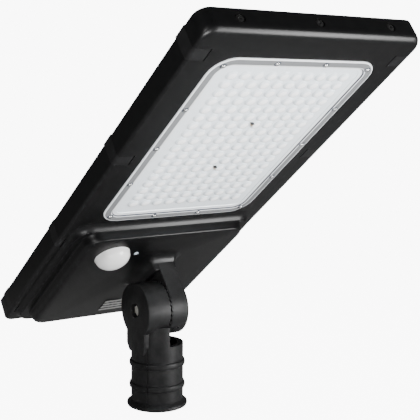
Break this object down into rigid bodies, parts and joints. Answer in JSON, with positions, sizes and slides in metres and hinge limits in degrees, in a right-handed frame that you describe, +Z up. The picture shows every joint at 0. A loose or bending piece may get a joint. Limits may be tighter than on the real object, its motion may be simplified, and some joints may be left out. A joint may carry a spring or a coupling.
{
  "type": "solar street lamp",
  "caption": "Flat solar street lamp head with a framed lens, sensor dome and electronics box, tilting on a toothed single-ear adapter that sleeves over a pole.",
  "frame": {"origin": "centre of the socket mouth, on the pole's axis, in the plane of the flange's lower face", "axes": "+Z up along the pole; +X along the tilt hinge, across the lamp; the lamp head reaches out towards -Y and rises as it goes"},
  "size_m": [0.2924, 0.5164, 0.5012],
  "materials": {
    "black_powder_coat": "fine satin powder coat",
    "clip_black": "satin black",
    "lens_polycarbonate": "clear moulded plastic",
    "gasket_rubber": "matte",
    "board_white": "white solder mask",
    "board_green": "green solder mask",
    "zinc_steel": "zinc plated",
    "stainless_steel": "bright",
    "black_screw": "blackened",
    "sensor_white": "satin translucent white",
    "indicator_blue": "clear pale blue",
    "panel_glass": "smooth toughened glass",
    "solar_cells": "dark blue silicon",
    "backsheet_white": "matte",
    "cell_wrap_blue": "shrink wrap",
    "holder_black": "matte",
    "plate_silver": "satin"
  },
  "bodies": {
    "mount": {"pole_socket": "black_powder_coat", "set_screw_0": "zinc_steel", "set_screw_1": "zinc_steel", "pivot_bolt": "zinc_steel", "pivot_washer_0": "zinc_steel"},
    "head": {"housing": "black_powder_coat", "lens_cover": "lens_polycarbonate", "lens_gasket": "gasket_rubber", "led_board": "board_white", "lens_screw_00": "stainless_steel", "lens_screw_01": "stainless_steel", "lens_screw_02": "stainless_steel", "lens_screw_03": "stainless_steel", "lens_screw_04": "stainless_steel", "lens_screw_05": "stainless_steel", "lens_screw_06": "stainless_steel", "lens_screw_07": "stainless_steel", "lens_screw_08": "stainless_steel", "lens_screw_09": "stainless_steel", "lens_screw_10": "stainless_steel", "lens_screw_11": "stainless_steel", "lens_screw_12": "stainless_steel", "lens_screw_13": "stainless_steel", "pir_dome": "sensor_white", "pir_board": "board_green", "indicator_lens": "indicator_blue", "panel_glass": "panel_glass", "solar_cells": "solar_cells", "panel_backsheet": "backsheet_white", "clip_0": "clip_black", "clip_1": "clip_black", "clip_2": "clip_black", "clip_3": "clip_black", "clip_4": "clip_black", "clip_5": "clip_black", "clip_6": "clip_black", "clip_7": "clip_black", "end_screw_0": "black_screw", "end_screw_1": "black_screw", "end_screw_2": "black_screw", "battery_cell_0": "cell_wrap_blue", "battery_cell_1": "cell_wrap_blue", "battery_cell_2": "cell_wrap_blue", "battery_cell_3": "cell_wrap_blue", "battery_cell_4": "cell_wrap_blue", "battery_cell_5": "cell_wrap_blue", "battery_end_0": "holder_black", "battery_end_1": "holder_black", "controller_board": "board_green", "rating_plate": "plate_silver", "pivot_nut": "zinc_steel", "pivot_washer_1": "zinc_steel"}
  },
  "joints": [
    {"name": "head_tilt", "type": "hinge", "parent": "mount", "child": "head", "pos_m": [0, 0, 0.1328], "axis": [-1, 0, 0], "range_deg": [-37.3, 52.7]}
  ]
}
